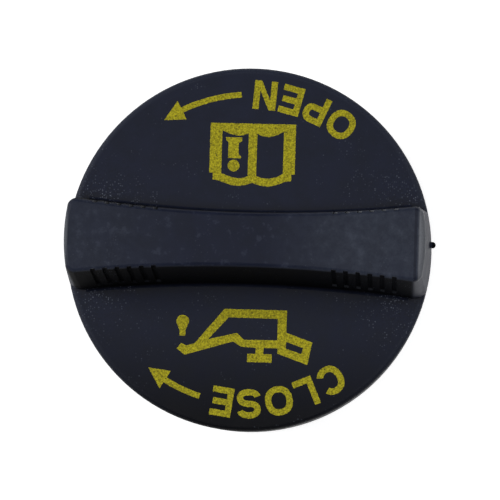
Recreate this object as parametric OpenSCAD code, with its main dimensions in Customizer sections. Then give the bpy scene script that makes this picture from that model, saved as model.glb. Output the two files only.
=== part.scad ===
// Oil filler cap of a car engine: a moulded quarter-turn cap with a bar handle, and its sealing ring.
// Millimetres. +Z points away from the engine along the cap's axis, and the bar handle runs along X.
// Z = 0 is the sealing plane, where the ring meets the rim of the filler neck.

/* [Disc] */
// Diameter of the disc
disc_d = 60; // [54:1:68]
// Thickness of the disc
disc_t = 3; // [2.4:0.1:4]
// Round on the upper rim of the disc
rim_r = 0.8; // [0.4:0.1:1.2]

/* [Skirt] */
// Depth of the skirt, from the top of the disc
skirt_h = 10.5; // [8:0.5:13]
// Wall of the skirt
skirt_wall = 2.3; // [1.8:0.1:2.8]
// Draft of the skirt's two faces, in degrees
skirt_draft = 1.5; // [0.5:0.1:2.5]
// Number of webs under the disc, between the ring rib and the skirt
web_count = 8; // [4:4:12]
// Thickness of a web
web_t = 1.4; // [1:0.1:2]
// Depth of a web below the disc
web_h = 2.4; // [1.5:0.1:3.5]

/* [Bar handle] */
// Height of the handle above the disc
handle_h = 15; // [11:0.5:18]
// Width of the handle at its waist, at the top before the edge is rounded
handle_w = 8.7; // [8:0.1:12]
// Radius of the hollow curve of each flank, at the top
flank_r = 226; // [150:1:400]
// Draft of the flanks, in degrees
handle_draft = 5.9; // [3:0.1:7]
// Draft of the end walls, in degrees
end_draft = 4.2; // [3:0.1:7]
// Round on the top edge of the handle
edge_r = 0.8; // [0.5:0.1:1.2]
// Fillet between the handle and the disc
foot_r = 0.8; // [0.4:0.1:1]
// Round of the four upright corners, at the top
corner_r = 1.6; // [1.2:0.1:2.2]
// Step from the rim of the disc in to the foot of the end wall
end_step = 0.05; // [0.03:0.01:0.2]

/* [Finger flutes] */
// Number of flutes at each end of each flank
flute_count = 6; // [4:1:7]
// Distance of the first flute from the middle of the handle
flute_start = 14.35; // [12:0.05:15]
// Spacing of the flutes along the handle
flute_pitch = 1.945; // [1.7:0.005:2]
// Width of a flute
flute_w = 0.75; // [0.5:0.05:1.1]
// Depth of a flute
flute_depth = 0.35; // [0.25:0.05:0.6]
// Height of the flutes' floor above the disc
flute_floor = 2.8; // [2.4:0.1:6]

/* [Hollow in the handle] */
// Wall between the hollow and the outside
core_wall = 2.2; // [1.6:0.1:2.6]
// Thickness of the cross ribs in the hollow
core_rib_t = 1.4; // [1:0.1:2]
// Spacing of the cross ribs
core_rib_pitch = 7; // [6:0.1:8]
// Step from the bore of the stem in to the hollow
core_step = 0.6; // [0.3:0.1:1]

/* [Stem] */
// Diameter of the stem that enters the filler neck
stem_d = 36; // [32:0.5:38]
// Wall of the stem at its lower end
stem_wall = 2.5; // [2:0.1:3]
// Draft of the stem's bore, in degrees
bore_draft = 0.8; // [0.3:0.1:1.5]
// Depth of the stem below the sealing plane
stem_depth = 20; // [18:0.5:26]
// Step from the stem in to its pilot end
pilot_step = 0.4; // [0.3:0.1:0.8]
// Chamfer at the lower end of the stem
stem_chamfer = 1; // [0.5:0.1:1.5]

/* [Bayonet lugs] */
// Depth of the lugs' upper face below the sealing plane
lug_drop = 9; // [8:0.5:10]
// Height of a lug
lug_t = 3.5; // [3:0.1:4.5]
// Reach of a lug beyond the stem
lug_out = 2.8; // [2:0.1:3.2]
// Angle that a lug spans
lug_span = 46; // [36:1:60]
// Slope of the lead-in ramp, in degrees
ramp_angle = 16; // [10:1:22]
// Length of the lead-in ramp
ramp_len = 6; // [4:0.5:8]
// Height of the turn stop above a lug
stop_h = 3; // [2:0.5:4]
// Angle that a turn stop spans
stop_span = 8; // [6:1:12]
// Angle between the end of a lug and its turn stop
stop_inset = 1; // [0.5:0.5:3]

/* [Sealing ring] */
// Outer diameter of the sealing ring
ring_d = 42; // [40:0.5:43]
// Thickness of the sealing ring
ring_t = 2.5; // [2:0.1:3.5]
// Play between the ring and the stem, on the radius
ring_play = 0.1; // [0.05:0.05:0.2]
// Bevel on the ring's edges
ring_bevel = 0.3; // [0.1:0.05:0.5]
// Play between the ring and the rib around it, on the radius
rib_play = 0.35; // [0.2:0.05:0.6]
// Thickness of the rib that holds the ring
rib_t = 1.2; // [0.9:0.1:1.6]
// Height of the rib that holds the ring
rib_h = 1.6; // [1:0.1:2]

/* [Gate pip] */
// Diameter of the moulding gate's pip
pip_d = 1.1; // [0.8:0.1:1.6]
// Reach of the pip beyond the end wall
pip_out = 0.95; // [0.6:0.05:1.6]
// Height of the pip above the disc
pip_up = 4; // [3:0.5:9]
// Distance of the pip from the handle's centre line
pip_off = 0.95; // [0:0.05:1.5]

/* [Hidden] */

curve_fn = 180;
flank_fn = 360;
small_fn = 48;
arc_steps = 6;
proud = 1;
// How far a corner's round stands clear of the faces beside it, so that they cross and don't graze
post_margin = 0.06;

disc_r = disc_d / 2;
stem_r = stem_d / 2;
pilot_r = stem_r - pilot_step;
ring_r = ring_d / 2;

// Levels
z_seat = ring_t;
z_disc = z_seat + disc_t;
z_top = z_disc + handle_h;
z_skirt = z_disc - skirt_h;
z_lug_top = -lug_drop;
z_lug_low = z_lug_top - lug_t;
z_pilot = z_lug_low - 0.5;
z_stem = -stem_depth;
z_root = z_disc - disc_t / 2;
z_parting = z_disc - rim_r;

// Handle: offsets are measured outward from the unrounded top edge
slope = tan(handle_draft);
end_slope = tan(end_draft);
end_r = disc_r - end_step - handle_h * end_slope;
flank_axis = handle_w / 2 + flank_r;
edge_end = 78;
foot_cross = 20;

// Bore of the stem and inside of the skirt
bore_low_r = pilot_r - stem_wall;
bore_top_r = bore_low_r - (z_seat - z_stem) * tan(bore_draft);
skirt_low_r = disc_r - (skirt_h - rim_r) * tan(skirt_draft);
skirt_in_low_r = skirt_low_r - skirt_wall;
skirt_in_top_r = skirt_in_low_r - (z_seat - z_skirt) * tan(skirt_draft);
rib_in_r = ring_r + rib_play;
rib_out_r = rib_in_r + rib_t;
skirt_edge = 0.4;

// Points on an arc, given its centre, radius and two angles
function arc(c, r, a0, a1) = [
    for (i = [0 : arc_steps]) c + r * [cos(a0 + (a1 - a0) * i / arc_steps), sin(a0 + (a1 - a0) * i / arc_steps)]
];

// Round on the handle's top edge, from the flank up to the top face
edge_c = [-edge_r * (1 - sin(handle_draft)) / cos(handle_draft), z_top - edge_r];
edge_arc = arc(edge_c, edge_r, handle_draft, edge_end);
edge_last = edge_arc[arc_steps];
edge_run = 1 / tan(90 - edge_end + (edge_end - handle_draft) / arc_steps / 2);
edge_at_top = [edge_last[0] - (z_top - edge_last[1]) * edge_run, z_top];
edge_above = [edge_at_top[0] - 0.06 * edge_run, z_top + 0.06];

// Fillet at the handle's foot, from the disc up to the flank
foot_z = z_disc + foot_r * cos(foot_cross);
foot_c = [(foot_r - (foot_z - z_top) * sin(handle_draft)) / cos(handle_draft), foot_z];
foot_arc = arc(foot_c, foot_r, 254, 180 + handle_draft);
foot_below = foot_arc[0] + [0.5, -0.25];

// Radius of the hollow flank and of the end wall, and the half width at the waist, at a height
function flank_at(z) = flank_r - (z_top - z) * slope;
function end_at(z) = end_r + (z_top - z) * end_slope;

// Centre of a corner's round: inside the end wall and clear of the flank by the same radius
corner_reach = end_r - corner_r;
corner_y = (pow(corner_reach, 2) + pow(flank_axis, 2) - pow(flank_r + corner_r, 2)) / (2 * flank_axis);
corner_x = sqrt(pow(corner_reach, 2) - pow(corner_y, 2));
corner_c = [corner_x, corner_y];
corner_to_end = corner_c / norm(corner_c);
corner_to_flank = ([0, flank_axis] - corner_c) / norm([0, flank_axis] - corner_c);

// Section of the disc, skirt, ring rib and stem
module turned_section() {
    rotate_extrude($fn = curve_fn)
        polygon(concat(
            [[0, z_seat], [bore_top_r, z_seat], [bore_low_r, z_stem]],
            [[pilot_r - stem_chamfer, z_stem], [pilot_r, z_stem + stem_chamfer]],
            [[pilot_r, z_pilot], [stem_r, z_pilot], [stem_r, z_seat]],
            [[rib_in_r, z_seat], [rib_in_r, z_seat - rib_h]],
            [[rib_out_r, z_seat - rib_h], [rib_out_r, z_seat]],
            [[skirt_in_top_r, z_seat], [skirt_in_low_r, z_skirt]],
            [[skirt_low_r - skirt_edge, z_skirt], [skirt_low_r, z_skirt + skirt_edge]],
            arc([disc_r - rim_r, z_disc - rim_r], rim_r, 0, 90),
            [[0, z_disc]]
        ));
}

// Block of the handle's height, with its curved end walls and their rounded top edge
module end_block() {
    rotate_extrude($fn = curve_fn)
        polygon(concat(
            [[0, z_root], [disc_r - 0.35, z_root], [end_at(z_disc), z_disc]],
            [for (p = edge_arc) [end_r + p[0], p[1]]],
            [[end_r + edge_at_top[0], z_top], [0, z_top]]
        ));
}

// What the mould leaves out beside one flank
module flank_cut() {
    translate([0, flank_axis, 0])
        rotate_extrude($fn = flank_fn)
            polygon(concat(
                [[flank_r - disc_r - handle_w, z_root - proud], [flank_r - foot_below[0], z_root - proud]],
                [[flank_r - foot_below[0], foot_below[1]]],
                [for (p = foot_arc) [flank_r - p[0], p[1]]],
                [for (p = edge_arc) [flank_r - p[0], p[1]]],
                [[flank_r - edge_above[0], edge_above[1]], [flank_r - edge_above[0], z_top + proud]],
                [[flank_r - disc_r - handle_w, z_top + proud]]
            ));
}

// What rounds one upright corner: a wedge at the corner, less the round post inside it
module corner_cut() {
    post = corner_r + post_margin;
    difference() {
        translate([0, 0, z_root - proud / 2])
            linear_extrude(z_top - z_root + 1.5 * proud)
                polygon([
                    corner_c,
                    corner_c + 6 * corner_to_end,
                    corner_c + 6 * corner_to_end + 6 * corner_to_flank,
                    corner_c + 6 * corner_to_flank
                ]);
        translate([corner_x, corner_y, 0])
            rotate_extrude($fn = small_fn)
                polygon(concat(
                    [[0, z_root - proud], [post + (z_top - z_root + proud) * slope, z_root - proud]],
                    [for (p = edge_arc) [post + p[0], p[1]]],
                    [[post + edge_above[0], edge_above[1]]],
                    [[post + edge_above[0], z_top + 2 * proud], [0, z_top + 2 * proud]]
                ));
    }
}

// Flutes in one flank, at both ends of the handle, cut to an even depth
module flutes() {
    low = z_disc + flute_floor;
    high = z_top + proud;
    intersection() {
        union() {
            for (side = [-1, 1], i = [0 : flute_count - 1])
                translate([side * (flute_start + i * flute_pitch) - flute_w / 2, 0, low])
                    cube([flute_w, disc_r, high - low]);
        }
        translate([0, flank_axis, low - proud])
            cylinder(
                r1 = flank_at(low - proud) + flute_depth,
                r2 = flank_at(high + proud) + flute_depth,
                h = high - low + 2 * proud,
                $fn = flank_fn
            );
    }
}

module handle() {
    difference() {
        end_block();
        for (side = [0, 1])
            mirror([0, side, 0]) {
                flank_cut();
                flutes();
                corner_cut();
                mirror([1, 0, 0]) corner_cut();
            }
    }
}

// Space between the inner faces of the flanks, up to the roof of the hollow
module hollow_sides() {
    low = z_seat - 2 * proud;
    high = z_top - core_wall;
    for (side = [0, 1])
        mirror([0, side, 0])
            translate([0, flank_axis, low])
                cylinder(
                    r1 = flank_at(low) + core_wall,
                    r2 = flank_at(high + proud) + core_wall,
                    h = high + proud - low,
                    $fn = flank_fn
                );
}

module handle_hollow() {
    low = z_seat - proud;
    high = z_top - core_wall;
    pocket_in_r = rib_out_r + core_step;
    difference() {
        union() {
            translate([0, 0, low])
                cylinder(r = bore_top_r - core_step, h = high - low, $fn = curve_fn);
            difference() {
                translate([0, 0, low])
                    cylinder(
                        r1 = skirt_in_top_r - core_step,
                        r2 = end_at(high) - core_wall,
                        h = high - low,
                        $fn = curve_fn
                    );
                translate([0, 0, low - proud])
                    cylinder(r = pocket_in_r, h = high - low + 2 * proud, $fn = curve_fn);
            }
        }
        hollow_sides();
        for (i = [-2 : 2])
            if (abs(i) > 0)
                translate([sign(i) * (abs(i) - 0.5) * core_rib_pitch - core_rib_t / 2, -disc_r, low - proud])
                    cube([core_rib_t, disc_d, high - low + 2 * proud]);
    }
}

module webs() {
    for (i = [0 : web_count - 1])
        rotate([0, 0, (i + 0.5) * 360 / web_count])
            translate([rib_out_r - rib_t / 2, -web_t / 2, z_seat - web_h])
                cube([skirt_in_top_r + skirt_wall / 2 - rib_out_r + rib_t / 2, web_t, web_h + disc_t / 2]);
}

// One lug, with the ramp at the end that goes in first and the stop at the other
module lug() {
    difference() {
        rotate([0, 0, -lug_span / 2])
            rotate_extrude(angle = lug_span, $fn = curve_fn)
                polygon([
                    [stem_r - stem_wall / 2, z_lug_low],
                    [stem_r + lug_out - 0.6, z_lug_low],
                    [stem_r + lug_out, z_lug_low + 0.6],
                    [stem_r + lug_out, z_lug_top - 0.4],
                    [stem_r + lug_out - 0.4, z_lug_top],
                    [stem_r - stem_wall / 2, z_lug_top]
                ]);
        translate([0, -stem_r * sin(lug_span / 2) + ramp_len, z_lug_top])
            rotate([ramp_angle, 0, 0])
                translate([stem_r * 0.5, -2 * ramp_len, 0])
                    cube([stem_r, 2 * ramp_len, lug_t]);
    }
    rotate([0, 0, lug_span / 2 - stop_inset - stop_span])
        rotate_extrude(angle = stop_span, $fn = curve_fn)
            polygon([
                [stem_r - stem_wall / 2, z_lug_top - lug_t / 2],
                [stem_r + lug_out * 0.7, z_lug_top - lug_t / 2],
                [stem_r + lug_out * 0.7, z_lug_top + stop_h - 0.6],
                [stem_r + lug_out * 0.7 - 0.6, z_lug_top + stop_h],
                [stem_r - stem_wall / 2, z_lug_top + stop_h]
            ]);
}

module gate_pip() {
    translate([end_at(z_disc + pip_up) - skirt_wall / 2, pip_off, z_disc + pip_up])
        rotate([0, 90, 0])
            rotate_extrude($fn = small_fn)
                polygon(concat(
                    [[0, 0], [pip_d * 0.55, 0]],
                    arc([0, skirt_wall / 2 + pip_out - pip_d * 0.48], pip_d * 0.48, 0, 90)
                ));
}

module cap_body() {
    color("#2a2d36") {
        difference() {
            union() {
                turned_section();
                handle();
            }
            handle_hollow();
        }
        webs();
        for (turn = [90, 270])
            rotate([0, 0, turn]) lug();
        gate_pip();
    }
}

module sealing_ring() {
    color("#5a4a3c")
        rotate_extrude($fn = curve_fn)
            polygon([
                [stem_r + ring_play, ring_bevel],
                [stem_r + ring_play + ring_bevel, 0],
                [ring_r - ring_bevel, 0],
                [ring_r, ring_bevel],
                [ring_r, ring_t - ring_bevel],
                [ring_r - ring_bevel, ring_t],
                [stem_r + ring_play + ring_bevel, ring_t],
                [stem_r + ring_play, ring_t - ring_bevel]
            ]);
}

cap_body();
sealing_ring();
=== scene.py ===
"""Looks of the oil filler cap: camera, studio, grained moulding, rubber ring and yellow pad printing."""

import math

import bpy
import numpy as np
from mathutils import Matrix, Vector


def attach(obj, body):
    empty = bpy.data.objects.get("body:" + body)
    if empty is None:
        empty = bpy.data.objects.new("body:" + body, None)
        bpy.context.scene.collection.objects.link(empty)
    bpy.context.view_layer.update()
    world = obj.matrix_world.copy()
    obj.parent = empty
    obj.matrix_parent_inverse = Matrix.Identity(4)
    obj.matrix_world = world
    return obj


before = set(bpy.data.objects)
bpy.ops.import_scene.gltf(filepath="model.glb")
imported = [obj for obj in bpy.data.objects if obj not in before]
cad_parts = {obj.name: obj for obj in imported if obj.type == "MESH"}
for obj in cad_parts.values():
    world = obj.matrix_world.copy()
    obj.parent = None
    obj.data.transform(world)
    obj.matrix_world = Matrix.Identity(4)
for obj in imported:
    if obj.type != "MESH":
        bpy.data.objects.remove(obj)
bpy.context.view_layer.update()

MM = 0.001
DISC_TOP = 5.5 * MM      # the disc's face, which carries the printing
STEM_END = -20.0 * MM    # the stem stands on the floor


# Small helpers

def paint(hex_code):
    """A paint colour written as sRGB hex, turned to the linear values that Blender works in."""
    parts = [int(hex_code[i:i + 2], 16) / 255 for i in (1, 3, 5)]
    return tuple(p / 12.92 if p <= 0.04045 else ((p + 0.055) / 1.055) ** 2.4 for p in parts) + (1.0,)


def add_node(tree, kind, settings=None, sockets=None):
    """Adds a node to a tree, sets its properties, and fills its sockets with values or links."""
    node = tree.nodes.new(kind)
    for key, value in (settings or {}).items():
        setattr(node, key, value)
    for key, value in (sockets or {}).items():
        if isinstance(value, bpy.types.NodeSocket):
            tree.links.new(value, node.inputs[key])
        else:
            node.inputs[key].default_value = value
    return node


def new_material(name):
    """An empty material and its node tree."""
    material = bpy.data.materials.new(name)
    material.use_nodes = True
    material.node_tree.nodes.clear()
    return material, material.node_tree


# The kinds of node and the settings that come back most often

MAP = "ShaderNodeMapRange"
MATH = "ShaderNodeMath"
MIX = "ShaderNodeMix"
NOISE = "ShaderNodeTexNoise"
COLOURS = {"data_type": "RGBA"}
SOFT_STEP = {"interpolation_type": "SMOOTHSTEP"}
PLUS = {"operation": "ADD"}
MINUS = {"operation": "SUBTRACT"}
TIMES = {"operation": "MULTIPLY"}
LARGER = {"operation": "MAXIMUM"}
SIZE_OF = {"operation": "ABSOLUTE"}
NEAR = {"operation": "COMPARE"}


# Camera. The picture is 82.1 mm wide at the disc's face. It looks down on the cap, leaning 5.5 degrees
# towards -Y and 3.0 towards +X, with the handle's +X end 1.8 degrees low and the cap a little left of and
# above the middle.

VIEW_WIDTH = 82.08 * MM
VIEW_DISTANCE = 500 * MM
VIEW_LEAN = (0.052, -0.0965, 1.0)
VIEW_ROLL = math.radians(1.82)
VIEW_ASIDE = (0.23 * MM, -0.25 * MM)
FILM_WIDTH = 36.0        # mm


def place_camera():
    """The camera that takes the main picture."""
    lens = bpy.data.cameras.new("camera")
    lens.sensor_width = FILM_WIDTH
    lens.lens = lens.sensor_width * VIEW_DISTANCE / VIEW_WIDTH
    lens.clip_start = 0.01
    lens.dof.use_dof = False
    camera = bpy.data.objects.new("camera", lens)
    bpy.context.scene.collection.objects.link(camera)
    back = Vector(VIEW_LEAN).normalized()
    right = Vector((-math.sin(VIEW_ROLL), math.cos(VIEW_ROLL), 0.0)).cross(back).normalized()
    up = back.cross(right)
    stand = Vector((0, 0, DISC_TOP)) + back * VIEW_DISTANCE + right * VIEW_ASIDE[0] + up * VIEW_ASIDE[1]
    camera.matrix_world = Matrix.Translation(stand) @ Matrix((right, up, back)).transposed().to_4x4()
    bpy.context.scene.camera = camera
    bpy.context.scene.view_settings.view_transform = "Standard"


# Studio

DOME_SIDE = (0.02, 0.02, 0.023, 1)       # linear, up to 46 degrees above the horizon
DOME_TOP = (0.11, 0.115, 0.135, 1)       # linear, from 76 degrees up
WHITE = (1, 1, 1, 1)
FLOOR_RADIUS = 1.6       # m
FLOOR_SIDES = 96
FLOOR_LIFT = 0.76        # what the paper needs on top of the lamps' light to read as white


def studio_world():
    """A dim studio above the cap. A camera ray sees white, and so does a mirrored ray that leaves near the
    horizon."""
    world = bpy.data.worlds.new("studio")
    world.use_nodes = True
    tree = world.node_tree
    tree.nodes.clear()
    way = add_node(tree, "ShaderNodeTexCoord").outputs["Generated"]
    height = add_node(tree, "ShaderNodeSeparateXYZ", sockets={0: way}).outputs["Z"]
    dome = add_node(tree, "ShaderNodeValToRGB", sockets={0: height})
    dome.color_ramp.elements[0].position = 0.72
    dome.color_ramp.elements[0].color = DOME_SIDE
    dome.color_ramp.elements[1].position = 0.97
    dome.color_ramp.elements[1].color = DOME_TOP
    light = add_node(tree, "ShaderNodeLightPath").outputs
    low = add_node(tree, MAP, SOFT_STEP, {"Value": height, "From Min": -0.02, "From Max": 0.03,
                                          "To Min": 1.0, "To Max": 0.0}).outputs[0]
    mirrored = add_node(tree, MATH, LARGER, {0: light["Is Glossy Ray"],
                                             1: light["Is Transmission Ray"]}).outputs[0]
    mirrored_low = add_node(tree, MATH, TIMES, {0: mirrored, 1: low}).outputs[0]
    white_part = add_node(tree, MATH, LARGER, {0: light["Is Camera Ray"], 1: mirrored_low}).outputs[0]
    dim = add_node(tree, "ShaderNodeBackground", sockets={"Color": dome.outputs["Color"], "Strength": 1.0})
    white = add_node(tree, "ShaderNodeBackground", sockets={"Color": WHITE, "Strength": 1.0})
    mix = add_node(tree, "ShaderNodeMixShader", sockets={0: white_part, 1: dim.outputs[0],
                                                         2: white.outputs[0]})
    add_node(tree, "ShaderNodeOutputWorld", sockets={"Surface": mix.outputs[0]})
    bpy.context.scene.world = world


def white_paper():
    """The floor: matt white paper. The camera and mirrored rays see it at full white where no shadow falls,
    and the cap's shadow stays on it. It is see-through from below, for views of the cap's underside."""
    material, tree = new_material("matt white paper")
    light = add_node(tree, "ShaderNodeLightPath").outputs
    seen = add_node(tree, MATH, LARGER, {0: light["Is Camera Ray"], 1: light["Is Glossy Ray"]}).outputs[0]
    seen = add_node(tree, MATH, LARGER, {0: seen, 1: light["Is Transmission Ray"]}).outputs[0]
    matt = add_node(tree, "ShaderNodeBsdfDiffuse", sockets={"Color": paint("#E6E6E6")})
    lifted = add_node(tree, "ShaderNodeEmission", sockets={"Color": WHITE, "Strength": FLOOR_LIFT})
    both = add_node(tree, "ShaderNodeAddShader", sockets={0: matt.outputs[0], 1: lifted.outputs[0]})
    top = add_node(tree, "ShaderNodeMixShader", sockets={0: seen, 1: matt.outputs[0], 2: both.outputs[0]})
    below = add_node(tree, "ShaderNodeNewGeometry").outputs["Backfacing"]
    clear = add_node(tree, "ShaderNodeBsdfTransparent")
    mix = add_node(tree, "ShaderNodeMixShader", sockets={0: below, 1: top.outputs[0], 2: clear.outputs[0]})
    add_node(tree, "ShaderNodeOutputMaterial", sockets={"Surface": mix.outputs[0]})
    return material


def floor_sheet():
    """A round floor just under the stem."""
    turns = [2 * math.pi * i / FLOOR_SIDES for i in range(FLOOR_SIDES)]
    level = STEM_END - 0.02 * MM
    rim = [(FLOOR_RADIUS * math.cos(turn), FLOOR_RADIUS * math.sin(turn), level) for turn in turns]
    mesh = bpy.data.meshes.new("floor")
    mesh.from_pydata(rim, [], [list(range(FLOOR_SIDES))])
    floor = bpy.data.objects.new("floor", mesh)
    floor.data.materials.append(white_paper())
    bpy.context.scene.collection.objects.link(floor)


def soft_lamp(name, place, size, watts):
    """A square soft lamp at place, with its side in metres, that faces the cap."""
    lamp = bpy.data.lights.new(name, "AREA")
    lamp.shape = "SQUARE"
    lamp.size = size
    lamp.energy = watts
    obj = bpy.data.objects.new(name, lamp)
    aim = (-Vector(place)).to_track_quat("-Z", "Y").to_matrix().to_4x4()
    obj.matrix_world = Matrix.Translation(place) @ aim
    bpy.context.scene.collection.objects.link(obj)


place_camera()
studio_world()
floor_sheet()
soft_lamp("front", (0.047, -0.087, 0.90), size=0.12, watts=1.2)
soft_lamp("left", (-0.66, 0.15, 0.68), size=0.45, watts=4.2)
soft_lamp("right", (0.62, 0.18, 0.72), size=0.45, watts=1.8)


# Materials. Sizes of patterns and places on the cap are in mm here, and turned to metres where they are used.

GRAIN = 0.30             # spark-eroded grain, really 0.05 mm; drawn as coarse as it needs to show
GRAIN_DEPTH = 0.02
MOTTLE = 3.2             # patches of the flowing melt
WEAR_CLOUD = 1.6         # clouds of wear on the handle
FIBRE_CELL = 0.32        # one fibre end may show in each cell, as a fleck of 0.1 to 0.2 mm
FIBRE_GROUP = 5.0        # loose groups of fibre ends
INK_CLOUD = 0.28         # thin and full places in the ink
BLOOM = 3.0              # patches of bloom on the rubber
RUBBER_GRAIN = 0.2
RUBBER_GRAIN_DEPTH = 0.01
FLUTE_LEDGE = 8.3        # height of the flutes' ledges, 2.8 mm above the disc
FLUTE_FIRST = 14.35      # distance of the first flute from the cap's middle
FLUTE_PITCH = 1.945
FLUTES_MIDDLE = 19.2     # distance of a row of flutes from the cap's middle
FLUTES_HALF = 5.4        # half the length of a row of flutes


def wear_and_painted_light(tree, place, axes, resin):
    """Painted light on the handle's top, with some real wear: paler clouds towards its ends, most of all at
    +X, are painted reflection; a pale stripe along the edges of the end walls, paler at +X, is a painted
    highlight; a dark line inside the +X one is painted shade; paler scuffs are wear. Returns the resin's
    colour, and where the handle's top is."""
    high = add_node(tree, MAP, sockets={"Value": axes["Z"], "From Min": 19.0 * MM,
                                        "From Max": 19.8 * MM}).outputs[0]
    reach = add_node(tree, MATH, SIZE_OF, {0: axes["X"]}).outputs[0]
    # painted reflection: the top is paler in clouds towards its ends, most of all at +X
    plus_end = add_node(tree, MAP, sockets={"Value": axes["X"], "From Min": 3.0 * MM,
                                            "From Max": 18.0 * MM}).outputs[0]
    minus_end = add_node(tree, MAP, sockets={"Value": axes["X"], "From Min": -8.0 * MM,
                                             "From Max": -26.0 * MM, "To Min": 0.0, "To Max": 0.5}).outputs[0]
    ends = add_node(tree, MATH, LARGER, {0: plus_end, 1: minus_end}).outputs[0]
    cloudy = add_node(tree, NOISE, sockets={"Vector": place, "Scale": 1000 / WEAR_CLOUD, "Detail": 4.0,
                                            "Roughness": 0.65}).outputs[0]
    painted_light = add_node(tree, MAP, sockets={"Value": cloudy, "From Min": 0.40, "From Max": 0.72,
                                        "To Min": 0.45, "To Max": 1.0}).outputs[0]
    painted_light = add_node(tree, MATH, TIMES, {0: ends, 1: painted_light}).outputs[0]
    # painted highlight: a pale stripe along the edges of the end walls, wider and paler at +X
    edge = add_node(tree, MAP, sockets={"Value": reach, "From Min": 28.1 * MM,
                                        "From Max": 28.5 * MM}).outputs[0]
    plus_edge = add_node(tree, MAP, sockets={"Value": axes["X"], "From Min": 27.6 * MM,
                                             "From Max": 27.9 * MM}).outputs[0]
    edge = add_node(tree, MATH, LARGER, {0: edge, 1: plus_edge}).outputs[0]
    stripe_highlight = add_node(tree, MIX, COLOURS, {0: plus_edge, 6: paint("#5C6068"), 7: paint("#74777D")}).outputs[2]
    lit_top_colour = add_node(tree, MIX, COLOURS, {0: edge, 6: paint("#393F4D"), 7: stripe_highlight}).outputs[2]
    painted_light = add_node(tree, MATH, LARGER, {0: painted_light, 1: edge}).outputs[0]
    painted_light = add_node(tree, MATH, TIMES, {0: painted_light, 1: high}).outputs[0]
    resin = add_node(tree, MIX, COLOURS, {0: painted_light, 6: resin, 7: lit_top_colour}).outputs[2]
    scuff = add_node(tree, MAP, sockets={"Value": cloudy, "From Min": 0.58, "From Max": 0.68,
                                         "To Min": 0.0, "To Max": 0.2}).outputs[0]
    scuff = add_node(tree, MATH, TIMES, {0: scuff, 1: high}).outputs[0]
    resin = add_node(tree, MIX, COLOURS, {0: scuff, 6: resin, 7: paint("#4C5263")}).outputs[2]
    # painted shade: a dark line on the top just inside the +X end wall
    line = add_node(tree, MATH, NEAR, {0: axes["X"], 1: 27.3 * MM, 2: 0.22 * MM}).outputs[0]
    line = add_node(tree, MATH, TIMES, {0: line, 1: high}).outputs[0]
    line = add_node(tree, MATH, TIMES, {0: line, 1: 0.7}).outputs[0]
    return add_node(tree, MIX, COLOURS, {0: line, 6: resin, 7: paint("#121728")}).outputs[2], high


def rubbed_rim(tree, place, axes, resin):
    """The disc's rounded edge is rubbed a little paler."""
    flat_place = add_node(tree, "ShaderNodeVectorMath", TIMES, {0: place, 1: (1.0, 1.0, 0.0)}).outputs[0]
    radius = add_node(tree, "ShaderNodeVectorMath", {"operation": "LENGTH"}, {0: flat_place}).outputs["Value"]
    rim = add_node(tree, MAP, sockets={"Value": radius, "From Min": 28.9 * MM, "From Max": 29.6 * MM,
                                       "To Min": 0.0, "To Max": 0.8}).outputs[0]
    upper = add_node(tree, MAP, sockets={"Value": axes["Z"], "From Min": 3.6 * MM,
                                         "From Max": 4.4 * MM}).outputs[0]
    under = add_node(tree, MAP, sockets={"Value": axes["Z"], "From Min": 5.6 * MM, "From Max": 6.2 * MM,
                                         "To Min": 1.0, "To Max": 0.0}).outputs[0]
    rim = add_node(tree, MATH, TIMES, {0: rim, 1: upper}).outputs[0]
    rim = add_node(tree, MATH, TIMES, {0: rim, 1: under}).outputs[0]
    return add_node(tree, MIX, COLOURS, {0: rim, 6: resin, 7: paint("#2C3140")}).outputs[2]


def painted_flank_shade(tree, axes, resin):
    """Painted shade: the handle's flanks, which face away from the lamps, are painted near-black and dull. The
    pip is painted near-black and dull as well. Returns the resin's colour, where this painted shade lies, and
    where the flanks are."""
    across = add_node(tree, MATH, PLUS, {0: axes["X"], 1: 0.6 * MM}).outputs[0]
    across = add_node(tree, MATH, SIZE_OF, {0: across}).outputs[0]
    inner = add_node(tree, MAP, SOFT_STEP, {"Value": across, "From Min": 27.2 * MM, "From Max": 28.2 * MM,
                                            "To Min": 1.0, "To Max": 0.0}).outputs[0]
    foot = add_node(tree, MAP, sockets={"Value": axes["Z"], "From Min": 5.55 * MM,
                                        "From Max": 6.4 * MM}).outputs[0]
    brow = add_node(tree, MAP, sockets={"Value": axes["Z"], "From Min": 19.8 * MM, "From Max": 20.3 * MM,
                                        "To Min": 1.0, "To Max": 0.0}).outputs[0]
    flank = add_node(tree, MATH, TIMES, {0: foot, 1: brow}).outputs[0]
    flank = add_node(tree, MATH, TIMES, {0: flank, 1: inner}).outputs[0]
    pip = add_node(tree, MAP, sockets={"Value": axes["X"], "From Min": 30.0 * MM,
                                       "From Max": 30.1 * MM}).outputs[0]
    # the flanks' painted shade, and the pip's near-black
    flank_shade = add_node(tree, MATH, LARGER, {0: flank, 1: pip}).outputs[0]
    flank_shade = add_node(tree, MATH, TIMES, {0: flank_shade, 1: 0.9}).outputs[0]
    return add_node(tree, MIX, COLOURS, {0: flank_shade, 6: resin, 7: paint("#0A0A0D")}).outputs[2], flank_shade, flank


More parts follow.
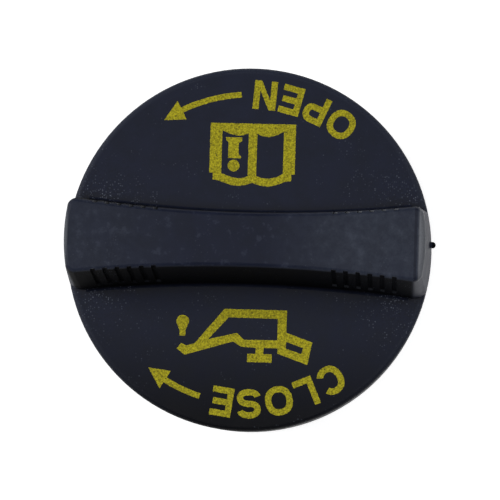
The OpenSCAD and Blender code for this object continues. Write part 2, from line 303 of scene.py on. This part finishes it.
def flute_highlights_and_shade(tree, axes, flank, resin):
    """Painted highlights in the flutes, where their ledges catch the light: pale on the ledges, and higher up
    too on the +Y side. The painted shade on the flanks is blackest at the -X end, where fewer highlights show."""
    ledge = add_node(tree, MATH, NEAR, {0: axes["Z"], 1: FLUTE_LEDGE * MM, 2: 0.06 * MM}).outputs[0]
    reach = add_node(tree, MATH, SIZE_OF, {0: axes["X"]}).outputs[0]
    step = add_node(tree, MATH, MINUS, {0: reach, 1: (FLUTE_FIRST - FLUTE_PITCH / 2) * MM}).outputs[0]
    step = add_node(tree, MATH, {"operation": "WRAP"}, {0: step, 1: FLUTE_PITCH * MM, 2: 0.0}).outputs[0]
    flute = add_node(tree, MATH, NEAR, {0: step, 1: FLUTE_PITCH / 2 * MM, 2: 0.38 * MM}).outputs[0]
    among = add_node(tree, MATH, NEAR, {0: reach, 1: FLUTES_MIDDLE * MM, 2: FLUTES_HALF * MM}).outputs[0]
    behind = add_node(tree, MATH, {"operation": "GREATER_THAN"}, {0: axes["Y"], 1: 0.0}).outputs[0]
    flute_mask = add_node(tree, MATH, TIMES, {0: flute, 1: among}).outputs[0]
    flute_mask = add_node(tree, MATH, TIMES, {0: flute_mask, 1: flank}).outputs[0]
    far_lit = add_node(tree, MAP, sockets={"Value": axes["Z"], "From Min": 12.0 * MM, "From Max": 19.0 * MM,
                                           "To Min": 0.1, "To Max": 0.9}).outputs[0]
    far_lit = add_node(tree, MATH, LARGER, {0: far_lit, 1: ledge}).outputs[0]
    far = add_node(tree, MATH, TIMES, {0: flute_mask, 1: behind}).outputs[0]
    far = add_node(tree, MATH, TIMES, {0: far, 1: far_lit}).outputs[0]
    plus_part = add_node(tree, MAP, sockets={"Value": axes["X"], "From Min": -20.0 * MM,
                                             "From Max": -8.0 * MM, "To Min": 0.2, "To Max": 1.0}).outputs[0]
    near = add_node(tree, MATH, TIMES, {0: flute_mask, 1: ledge}).outputs[0]
    near = add_node(tree, MATH, TIMES, {0: near, 1: plus_part}).outputs[0]
    # painted shade: the flanks are darkest towards the -X end
    black = add_node(tree, MATH, MINUS, {0: 1.0, 1: plus_part}).outputs[0]
    black = add_node(tree, MATH, TIMES, {0: black, 1: flank}).outputs[0]
    resin = add_node(tree, MIX, COLOURS, {0: black, 6: resin, 7: paint("#030304")}).outputs[2]
    # painted highlights: pale on the near ledges, paler in the far flutes
    resin = add_node(tree, MIX, COLOURS, {0: near, 6: resin, 7: paint("#33363C")}).outputs[2]
    return add_node(tree, MIX, COLOURS, {0: far, 6: resin, 7: paint("#7C7F86")}).outputs[2]


def painted_corner_shade(tree, axes, resin):
    """Painted shade: darker in the corner where the handle meets the disc, and below it in every other corner,
    by ambient occlusion.
    """
    air = add_node(tree, "ShaderNodeAmbientOcclusion", {"samples": 8, "only_local": True},
                   {"Distance": 2.5 * MM}).outputs["AO"]
    air = add_node(tree, MAP, sockets={"Value": air, "From Min": 0.45, "From Max": 0.95,
                                       "To Min": 0.15, "To Max": 1.0}).outputs[0]
    above = add_node(tree, MAP, sockets={"Value": axes["Z"], "From Min": 6.5 * MM,
                                         "From Max": 8.0 * MM}).outputs[0]
    air = add_node(tree, MATH, LARGER, {0: air, 1: above}).outputs[0]
    return add_node(tree, MIX, COLOURS, {0: air, 6: paint("#050507"), 7: resin}).outputs[2]


def brushed_disc(tree, axes):
    """Where knuckles brush the disc, beside the handle's ends."""
    aside = add_node(tree, MATH, SIZE_OF, {0: axes["Y"]}).outputs[0]
    beside = add_node(tree, MAP, sockets={"Value": aside, "From Min": 8.0 * MM, "From Max": 18.0 * MM,
                                          "To Min": 1.0, "To Max": 0.0}).outputs[0]
    reach = add_node(tree, MATH, SIZE_OF, {0: axes["X"]}).outputs[0]
    towards_end = add_node(tree, MAP, sockets={"Value": reach, "From Min": 12.0 * MM, "From Max": 24.0 * MM,
                                               "To Min": 0.0, "To Max": 0.6}).outputs[0]
    brushed = add_node(tree, MATH, TIMES, {0: beside, 1: towards_end}).outputs[0]
    lower = add_node(tree, MAP, sockets={"Value": axes["Z"], "From Min": 6.0 * MM, "From Max": 8.0 * MM,
                                         "To Min": 1.0, "To Max": 0.3}).outputs[0]
    return add_node(tree, MATH, TIMES, {0: brushed, 1: lower}).outputs[0]


def fibre_ends(tree, place, high, brushed, grain, resin):
    """Pale ends of glass fibres at the skin, here and there in loose groups, and many of them, with dark pits
    between, where the disc is brushed. They are fainter on the handle's top."""
    fleck = add_node(tree, "ShaderNodeTexVoronoi", sockets={"Vector": place, "Scale": 1000 / FIBRE_CELL})
    small = add_node(tree, MAP, sockets={"Value": fleck.outputs["Distance"], "From Min": 0.10,
                                         "From Max": 0.45, "To Min": 1.0, "To Max": 0.0}).outputs[0]
    chance = add_node(tree, "ShaderNodeSeparateColor", sockets={0: fleck.outputs["Color"]}).outputs[0]
    group = add_node(tree, NOISE, sockets={"Vector": place, "Scale": 1000 / FIBRE_GROUP, "Detail": 3.0,
                                           "Roughness": 0.7}).outputs[0]
    group = add_node(tree, MAP, sockets={"Value": group, "From Min": 0.35, "From Max": 0.65,
                                         "To Min": 0.0, "To Max": 0.6}).outputs[0]
    likely = add_node(tree, MATH, PLUS, {0: chance, 1: group}).outputs[0]
    likely = add_node(tree, MATH, PLUS, {0: likely, 1: brushed}).outputs[0]
    few = add_node(tree, MAP, sockets={"Value": likely, "From Min": 1.30, "From Max": 1.95,
                                       "To Min": 0.0, "To Max": 0.8}).outputs[0]
    shown = add_node(tree, MATH, TIMES, {0: small, 1: few}).outputs[0]
    fainter = add_node(tree, MAP, sockets={"Value": high, "To Min": 1.0, "To Max": 0.5}).outputs[0]
    shown = add_node(tree, MATH, TIMES, {0: shown, 1: fainter}).outputs[0]
    colour = add_node(tree, MIX, COLOURS, {0: shown, 6: resin, 7: paint("#777E8E")}).outputs[2]
    pits = add_node(tree, MAP, sockets={"Value": grain, "From Min": 0.36, "From Max": 0.50,
                                        "To Min": 0.7, "To Max": 0.0}).outputs[0]
    pits = add_node(tree, MATH, TIMES, {0: pits, 1: brushed}).outputs[0]
    return add_node(tree, MIX, COLOURS, {0: pits, 6: colour, 7: paint("#07080B")}).outputs[2]


def grained_nylon():
    """Glass-filled nylon, injection moulded in a spark-eroded mould: navy-black, a dull even grain with a low
    sheen, and pale flecks in loose groups where glass fibres end at the skin. Use has rubbed it, and shade and
    highlights are painted into its colour. Inside and below, the mould was smoother."""
    material, tree = new_material("grained glass-filled nylon")
    place = add_node(tree, "ShaderNodeTexCoord").outputs["Object"]
    axes = add_node(tree, "ShaderNodeSeparateXYZ", sockets={0: place}).outputs
    grain = add_node(tree, NOISE, sockets={"Vector": place, "Scale": 1000 / GRAIN, "Detail": 2.0,
                                           "Roughness": 0.6}).outputs[0]
    mottle = add_node(tree, NOISE, sockets={"Vector": place, "Scale": 1000 / MOTTLE, "Detail": 3.0,
                                            "Roughness": 0.55}).outputs[0]
    patch = add_node(tree, MAP, sockets={"Value": mottle, "From Min": 0.35, "From Max": 0.65}).outputs[0]
    resin = add_node(tree, MIX, COLOURS, {0: patch, 6: paint("#0F162A"), 7: paint("#171D32")}).outputs[2]
    resin, high = wear_and_painted_light(tree, place, axes, resin)
    resin = rubbed_rim(tree, place, axes, resin)

    # painted shade: the skin darkens towards the rim on the -Y side, and loses half its sheen there
    unshaded = add_node(tree, MAP, SOFT_STEP, {"Value": axes["Y"], "From Min": -33.0 * MM, "From Max": -8.0 * MM,
                                            "To Min": 0.0, "To Max": 1.0}).outputs[0]
    resin = add_node(tree, MIX, COLOURS, {0: unshaded, 6: paint("#07070A"), 7: resin}).outputs[2]
    resin, flank_shade, flank = painted_flank_shade(tree, axes, resin)
    sheen = add_node(tree, MAP, sockets={"Value": flank_shade, "To Min": 0.5, "To Max": 0.08}).outputs[0]
    gloss = add_node(tree, MAP, sockets={"Value": unshaded, "To Min": 0.5, "To Max": 1.0}).outputs[0]
    plus_wall = add_node(tree, MAP, sockets={"Value": axes["X"], "From Min": 28.4 * MM, "From Max": 28.8 * MM,
                                             "To Min": 1.0, "To Max": 0.7}).outputs[0]
    gloss = add_node(tree, MATH, TIMES, {0: gloss, 1: plus_wall}).outputs[0]
    sheen = add_node(tree, MATH, TIMES, {0: sheen, 1: gloss}).outputs[0]

    resin = flute_highlights_and_shade(tree, axes, flank, resin)
    resin = painted_corner_shade(tree, axes, resin)
    colour = fibre_ends(tree, place, high, brushed_disc(tree, axes), grain, resin)
    dull = add_node(tree, MAP, sockets={"Value": mottle, "From Min": 0.3, "From Max": 0.7,
                                        "To Min": 0.52, "To Max": 0.60}).outputs[0]
    dull = add_node(tree, MIX, {"data_type": "FLOAT"}, {0: flank_shade, 2: dull, 3: 0.9}).outputs[0]
    outside = add_node(tree, MAP, sockets={"Value": axes["Z"], "From Min": -5.2 * MM, "From Max": -4.8 * MM,
                                           "To Min": 0.25, "To Max": 1.0}).outputs[0]
    bump = add_node(tree, "ShaderNodeBump", sockets={"Strength": outside, "Distance": GRAIN_DEPTH * MM,
                                                     "Height": grain}).outputs[0]
    shader = add_node(tree, "ShaderNodeBsdfPrincipled", sockets={
        "Base Color": colour, "Roughness": dull, "IOR": 1.32, "Specular IOR Level": sheen, "Normal": bump})
    add_node(tree, "ShaderNodeOutputMaterial", sockets={"Surface": shader.outputs[0]})
    return material


def black_rubber():
    """Nitrile rubber, compression moulded: soft black, nearly matt, with a faint bloom."""
    material, tree = new_material("moulded nitrile rubber")
    place = add_node(tree, "ShaderNodeTexCoord").outputs["Object"]
    bloom = add_node(tree, NOISE, sockets={"Vector": place, "Scale": 1000 / BLOOM, "Detail": 4.0}).outputs[0]
    colour = add_node(tree, MIX, COLOURS, {0: bloom, 6: paint("#1A1A1B"), 7: paint("#262627")}).outputs[2]
    grain = add_node(tree, NOISE, sockets={"Vector": place, "Scale": 1000 / RUBBER_GRAIN,
                                           "Detail": 1.0}).outputs[0]
    bump = add_node(tree, "ShaderNodeBump", sockets={"Strength": 0.6, "Distance": RUBBER_GRAIN_DEPTH * MM,
                                                     "Height": grain}).outputs[0]
    shader = add_node(tree, "ShaderNodeBsdfPrincipled", sockets={
        "Base Color": colour, "Roughness": 0.72, "IOR": 1.52, "Normal": bump})
    add_node(tree, "ShaderNodeOutputMaterial", sockets={"Surface": shader.outputs[0]})
    return material


def yellow_ink():
    """Two-part pad printing ink: flat dull yellow that follows the grain under it, thin and cloudy in places,
    with pinholes where the pad missed the grain's pits."""
    material, tree = new_material("yellow pad printing ink")
    place = add_node(tree, "ShaderNodeTexCoord").outputs["Object"]
    grain = add_node(tree, NOISE, sockets={"Vector": place, "Scale": 1000 / GRAIN, "Detail": 2.0,
                                           "Roughness": 0.6}).outputs[0]
    cloud = add_node(tree, NOISE, sockets={"Vector": place, "Scale": 1000 / INK_CLOUD, "Detail": 3.0,
                                           "Roughness": 0.8}).outputs[0]
    cloud = add_node(tree, MAP, sockets={"Value": cloud, "From Min": 0.36, "From Max": 0.64}).outputs[0]
    film = add_node(tree, MIX, COLOURS, {0: cloud, 6: paint("#7E7610"), 7: paint("#D4C926")}).outputs[2]
    missed = add_node(tree, MAP, sockets={"Value": grain, "From Min": 0.26, "From Max": 0.40,
                                          "To Min": 0.85, "To Max": 0.0}).outputs[0]
    colour = add_node(tree, MIX, COLOURS, {0: missed, 6: film, 7: paint("#3A3A22")}).outputs[2]
    bump = add_node(tree, "ShaderNodeBump", sockets={"Strength": 0.8, "Distance": GRAIN_DEPTH * MM,
                                                     "Height": grain}).outputs[0]
    shader = add_node(tree, "ShaderNodeBsdfPrincipled", sockets={
        "Base Color": colour, "Roughness": 0.6, "IOR": 1.25, "Normal": bump})
    add_node(tree, "ShaderNodeOutputMaterial", sockets={"Surface": shader.outputs[0]})
    return material


def dress(node_name, finish):
    """Gives a CAD node its material."""
    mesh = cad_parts[node_name].data
    if not mesh.materials:
        mesh.materials.append(finish)
    for slot in range(len(mesh.materials)):
        mesh.materials[slot] = finish


ink = yellow_ink()
dress("cap_body", grained_nylon())
dress("sealing_ring", black_rubber())


# Outlines of the two printed signs, in mm on the disc's face

def round_line(cx, cy, radius, start=0.0, end=360.0, steps=24):
    """Points on a circle or an arc of it."""
    turns = np.radians(np.linspace(start, end, steps, endpoint=abs(end - start) < 360))
    return [(cx + radius * math.cos(t), cy + radius * math.sin(t)) for t in turns]


def open_book():
    """The common sign for reading the manual: an open book with a letter i on its page. It reads from +Y."""
    cover = [(-6.9, 20.68), (7.2, 20.68), (7.2, 12.4), (6.65, 12.4), (6.65, 11.3), (5.6, 11.15),
             (4.45, 10.65), (3.0, 10.28), (1.55, 10.42), (0.2, 10.85), (-0.85, 10.48), (-2.1, 10.28),
             (-3.4, 10.43), (-4.7, 10.87), (-5.6, 11.2), (-6.3, 11.3), (-6.3, 12.4), (-6.9, 12.4)]
    page_minus = [(-4.92, 19.46), (-3.65, 18.9), (-2.28, 18.62), (-1.3, 18.75), (-0.55, 19.05),
                  (-0.55, 11.95), (-1.25, 11.65), (-2.15, 11.55), (-3.42, 11.8), (-4.92, 12.36)]
    page_plus = [(0.85, 19.02), (1.65, 18.66), (2.87, 18.5), (4.2, 18.9), (5.23, 19.47),
                 (5.23, 12.48), (4.25, 11.9), (2.98, 11.6), (1.88, 11.67), (0.85, 12.0)]
    letter = [(-4.28, 18.33), (-1.62, 18.33), (-1.62, 17.7), (-2.16, 17.45), (-2.16, 15.62),
              (-1.73, 15.15), (-1.73, 14.87), (-3.87, 14.87), (-3.87, 17.5), (-4.28, 17.87)]
    dot = round_line(-2.91, 13.66, 0.98)
    return [cover, page_minus, page_plus, letter, dot]


def oil_can():
    """The common sign for engine oil: a can with a spout, a drop, a filler knob and a handle. It reads from
    +Y."""
    can = [(-3.64, -10.04), (6.62, -10.04), (6.62, -13.7), (10.93, -15.16), (10.2, -18.87), (5.25, -17.15),
           (5.25, -16.3), (2.97, -16.3), (2.97, -17.28), (4.36, -17.28), (4.36, -18.65), (0.32, -18.65),
           (0.32, -17.28), (1.67, -17.28), (1.67, -16.3), (-0.75, -16.17), (-2.06, -15.36), (-9.96, -17.74),
           (-11.28, -16.75), (-10.56, -15.83), (-9.77, -16.23), (-8.38, -15.84)]
    inside = [(-2.9, -11.42), (5.17, -11.45), (5.17, -14.97), (-0.3, -15.03), (-1.47, -13.94), (-6.17, -15.1)]
    grip = [(6.66, -15.2), (9.44, -16.1), (9.16, -17.1), (6.6, -16.29)]
    drop = round_line(-10.43, -12.24, 1.04, -30.0, 210.0, 20)
    drop += [(-10.93, -13.7), (-10.86, -14.62), (-9.94, -14.62), (-9.92, -13.7)]
    return [can, inside, grip, drop]


# Lettering. The letters are drawn here, from no typeface, and stand in a band along the disc's rim.

BAND_LOW = 23.1          # mm, the radii that the lettering lies between
BAND_HIGH = 27.9
BAND_MIDDLE = (BAND_LOW + BAND_HIGH) / 2
TALL = BAND_HIGH - BAND_LOW
STROKE = 1.02            # mm
LETTER_GAP = 0.75        # mm
LETTER_WIDTHS = {"L": 3.3, "E": 3.5, "P": 3.7, "N": 3.8, "S": 3.9, "C": 4.2, "O": 4.5}
ARROW_HALF = 0.47        # mm, half the width of an arrow's shaft
ARROW_HEAD_HALF = 1.7    # mm
ARROW_HEAD = 3.4         # mm
ARROW_STEPS = 40


def stroked(path, half):
    """The outline of a stroke of even width along a path."""
    path = np.asarray(path)
    along = np.gradient(path, axis=0)
    along /= np.linalg.norm(along, axis=1)[:, None]
    aside = np.stack((-along[:, 1], along[:, 0]), 1) * half
    return np.vstack((path + aside, (path - aside)[::-1]))


def squarish(cx, cy, rx, ry, start=0.0, end=360.0, steps=40, power=0.88):
    """Points on a squared-off ellipse or an arc of it."""
    turns = np.radians(np.linspace(start, end, steps, endpoint=abs(end - start) < 360))
    waves = np.stack((np.cos(turns), np.sin(turns)), 1)
    return np.array((cx, cy)) + np.array((rx, ry)) * np.sign(waves) * np.abs(waves) ** power


def letter_lines(letter):
    """The outlines of a plain block capital, TALL mm tall, and its width in mm."""
    h, t = TALL, STROKE
    w = LETTER_WIDTHS[letter]
    m, p = w / 2, (h - t) / 4
    if letter == "L":
        lines = [[(0, 0), (w, 0), (w, t), (t, t), (t, h), (0, h)]]
    elif letter == "E":
        lines = [[(0, 0), (w, 0), (w, t), (t, t), (t, (h - t) / 2), (w - 0.25, (h - t) / 2),
                  (w - 0.25, (h + t) / 2), (t, (h + t) / 2), (t, h - t), (w, h - t), (w, h), (0, h)]]
    elif letter == "N":
        lines = [[(0, 0), (t, 0), (t, 0.66 * h), (w - t - 0.12, 0), (w, 0),
                  (w, h), (w - t, h), (w - t, 0.34 * h), (t + 0.12, h), (0, h)]]
    elif letter == "P":
        low = 0.34 * h
        middle, half, round_part = (low + h) / 2, (h - low) / 2, 1.5
        bowl = squarish(w - round_part, middle, round_part, half, -90, 90, 20)
        hole = squarish(w - round_part, middle, round_part - t, half - t, -90, 90, 16)
        lines = [[(0, 0), (t, 0), (t, low), *bowl, (0, h)], [(t, low + t), *hole, (t, h - t)]]
    elif letter == "O":
        lines = [squarish(m, h / 2, m, h / 2), squarish(m, h / 2, m - t, h / 2 - t)]
    elif letter == "C":
        lines = [np.vstack((squarish(m, h / 2, m, h / 2, 33, 327),
                            squarish(m, h / 2, m - t, h / 2 - t, 322, 38)))]
    elif letter == "S":
        path = np.vstack((squarish(m, h - t / 2 - p, m - t / 2, p, 12, 262, 24),
                          squarish(m, t / 2 + p, m - t / 2, p, 82, -168, 24)))
        lines = [stroked(path, t / 2)]
    return [np.asarray(line, dtype=float) for line in lines], w


def word_on_arc(word, start, top_outwards):
    """A word along the disc's rim, from start degrees on in reading order, as seen by a reader who stands at
    +Y. Returns its outlines and the angle where it ends."""
    angle, lines = math.radians(start), []
    for letter in word:
        drawn, width = letter_lines(letter)
        turn = angle + width / BAND_MIDDLE / 2
        c, s = math.cos(turn), math.sin(turn)
        for line in drawn:
            x, y = line[:, 0] - width / 2, line[:, 1]
            if top_outwards:
                r = BAND_LOW + y
                placed = np.stack((r * s + x * c, r * c - x * s), 1)
            else:
                placed = np.stack((BAND_HIGH * s + x * c - y * s, -BAND_HIGH * c + x * s + y * c), 1)
            lines.append(-placed)          # the reader's right and up are the part's -X and -Y
        angle += (width + LETTER_GAP) / BAND_MIDDLE
    return lines, math.degrees(angle - LETTER_GAP / BAND_MIDDLE)


def arrow_on_arc(start, end, top_side):
    """A curved arrow in the lettering's band, from start to end degrees in reading order."""
    a, b = math.radians(start), math.radians(end)
    neck = b - ARROW_HEAD / BAND_MIDDLE
    polar = [(t, BAND_MIDDLE + ARROW_HALF) for t in np.linspace(a, neck, ARROW_STEPS)]
    polar += [(neck, BAND_MIDDLE + ARROW_HEAD_HALF), (b, BAND_MIDDLE), (neck, BAND_MIDDLE - ARROW_HEAD_HALF)]
    polar += [(t, BAND_MIDDLE - ARROW_HALF) for t in np.linspace(neck, a, ARROW_STEPS)]
    side = 1 if top_side else -1
    return [np.array([(-r * math.sin(t), -side * r * math.cos(t)) for t, r in polar])]


# The ink film

INK_SIZES = (("Film thickness", 0.03 * MM), ("Edge step", 0.10 * MM),
             ("Edge wander", 0.10 * MM), ("Wander length", 0.35 * MM))
WANDER_SEED = 7.0
INK_SINK = 0.005 * MM    # the film starts this far inside the disc, so that no gap shows


def film_tree():
    """Turns outlines into a thin closed film: even steps, a slight wander of the edge over the grain, fill,
    thickness."""
    tree = bpy.data.node_groups.new("ink film from outlines", "GeometryNodeTree")
    tree.is_modifier = True
    face = tree.interface
    face.new_socket("Outlines", in_out="INPUT", socket_type="NodeSocketGeometry")
    for name, value in INK_SIZES:
        face.new_socket(name, in_out="INPUT", socket_type="NodeSocketFloat").default_value = value
    face.new_socket("Ink", in_out="INPUT", socket_type="NodeSocketMaterial")
    face.new_socket("Film", in_out="OUTPUT", socket_type="NodeSocketGeometry")
    given = add_node(tree, "NodeGroupInput").outputs
    stepped = add_node(tree, "GeometryNodeResampleCurve", {"mode": "LENGTH"},
                       {"Curve": given["Outlines"], "Length": given["Edge step"]})
    place = add_node(tree, "GeometryNodeInputPosition").outputs[0]
    finer = add_node(tree, MATH, {"operation": "DIVIDE"}, {0: 1.0, 1: given["Wander length"]}).outputs[0]
    noise = add_node(tree, NOISE, {"noise_dimensions": "4D"},
                     {"Vector": place, "W": WANDER_SEED, "Scale": finer, "Detail": 2.0}).outputs["Color"]
    centred = add_node(tree, "ShaderNodeVectorMath", MINUS, {0: noise, 1: (0.5, 0.5, 0.5)}).outputs[0]
    flat = add_node(tree, "ShaderNodeVectorMath", TIMES, {0: centred, 1: (2.0, 2.0, 0.0)}).outputs[0]
    wander = add_node(tree, "ShaderNodeVectorMath", {"operation": "SCALE"},
                      {0: flat, "Scale": given["Edge wander"]}).outputs[0]
    moved = add_node(tree, "GeometryNodeSetPosition",
                     sockets={"Geometry": stepped.outputs[0], "Offset": wander})
    filled = add_node(tree, "GeometryNodeFillCurve", sockets={"Curve": moved.outputs[0]})
    up = add_node(tree, "ShaderNodeCombineXYZ", sockets={"Z": given["Film thickness"]}).outputs[0]
    raised = add_node(tree, "GeometryNodeExtrudeMesh", {"mode": "FACES"},
                      {"Mesh": filled.outputs[0], "Offset": up, "Offset Scale": 1.0, "Individual": False})
    under = add_node(tree, "GeometryNodeFlipFaces", sockets={"Mesh": filled.outputs[0]})
    joined = add_node(tree, "GeometryNodeJoinGeometry")
    tree.links.new(raised.outputs["Mesh"], joined.inputs[0])
    tree.links.new(under.outputs[0], joined.inputs[0])
    closed = add_node(tree, "GeometryNodeMergeByDistance",
                      sockets={"Geometry": joined.outputs[0], "Distance": 0.0005 * MM})
    real = add_node(tree, "GeometryNodeRealizeInstances", sockets={"Geometry": closed.outputs[0]})
    inked = add_node(tree, "GeometryNodeSetMaterial",
                     sockets={"Geometry": real.outputs[0], "Material": given["Ink"]})
    add_node(tree, "NodeGroupOutput", sockets={"Film": inked.outputs[0]})
    return tree


def printed(name, lines, tree):
    """A printed mark: its outlines, in mm on the disc's face, as a film of ink."""
    outline = bpy.data.curves.new(name, "CURVE")
    outline.dimensions = "3D"
    outline.fill_mode = "FULL"
    for line in lines:
        spline = outline.splines.new("POLY")
        spline.points.add(len(line) - 1)
        for point, (x, y) in zip(spline.points, line):
            point.co = (x * MM, y * MM, 0.0, 1.0)
        spline.use_cyclic_u = True
    drawn = bpy.data.objects.new(name + "_outline", outline)
    bpy.context.scene.collection.objects.link(drawn)
    modifier = drawn.modifiers.new("film", "NODES")
    modifier.node_group = tree
    sockets = {item.name: item.identifier for item in tree.interface.items_tree if item.in_out == "INPUT"}
    modifier[sockets["Ink"]] = ink
    bpy.context.view_layer.update()
    mesh = bpy.data.meshes.new_from_object(drawn.evaluated_get(bpy.context.evaluated_depsgraph_get()))
    bpy.data.objects.remove(drawn)
    mesh.name = name
    mesh.transform(Matrix.Translation((0, 0, DISC_TOP - INK_SINK)))
    mark = bpy.data.objects.new(name, mesh)
    bpy.context.scene.collection.objects.link(mark)
    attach(mark, "root")


ARROW_GAP = 4.5          # degrees between a word and its arrow

film = film_tree()
printed("print_book_sign", open_book(), film)
printed("print_oil_can_sign", oil_can(), film)
close_word, close_end = word_on_arc("CLOSE", -38.3, top_outwards=True)
printed("print_close", close_word, film)
printed("print_close_arrow", arrow_on_arc(close_end + ARROW_GAP, 38.3, top_side=True), film)
open_word, open_end = word_on_arc("OPEN", -40.0, top_outwards=False)
printed("print_open", open_word, film)
printed("print_open_arrow", arrow_on_arc(open_end + ARROW_GAP, 35.0, top_side=False), film)
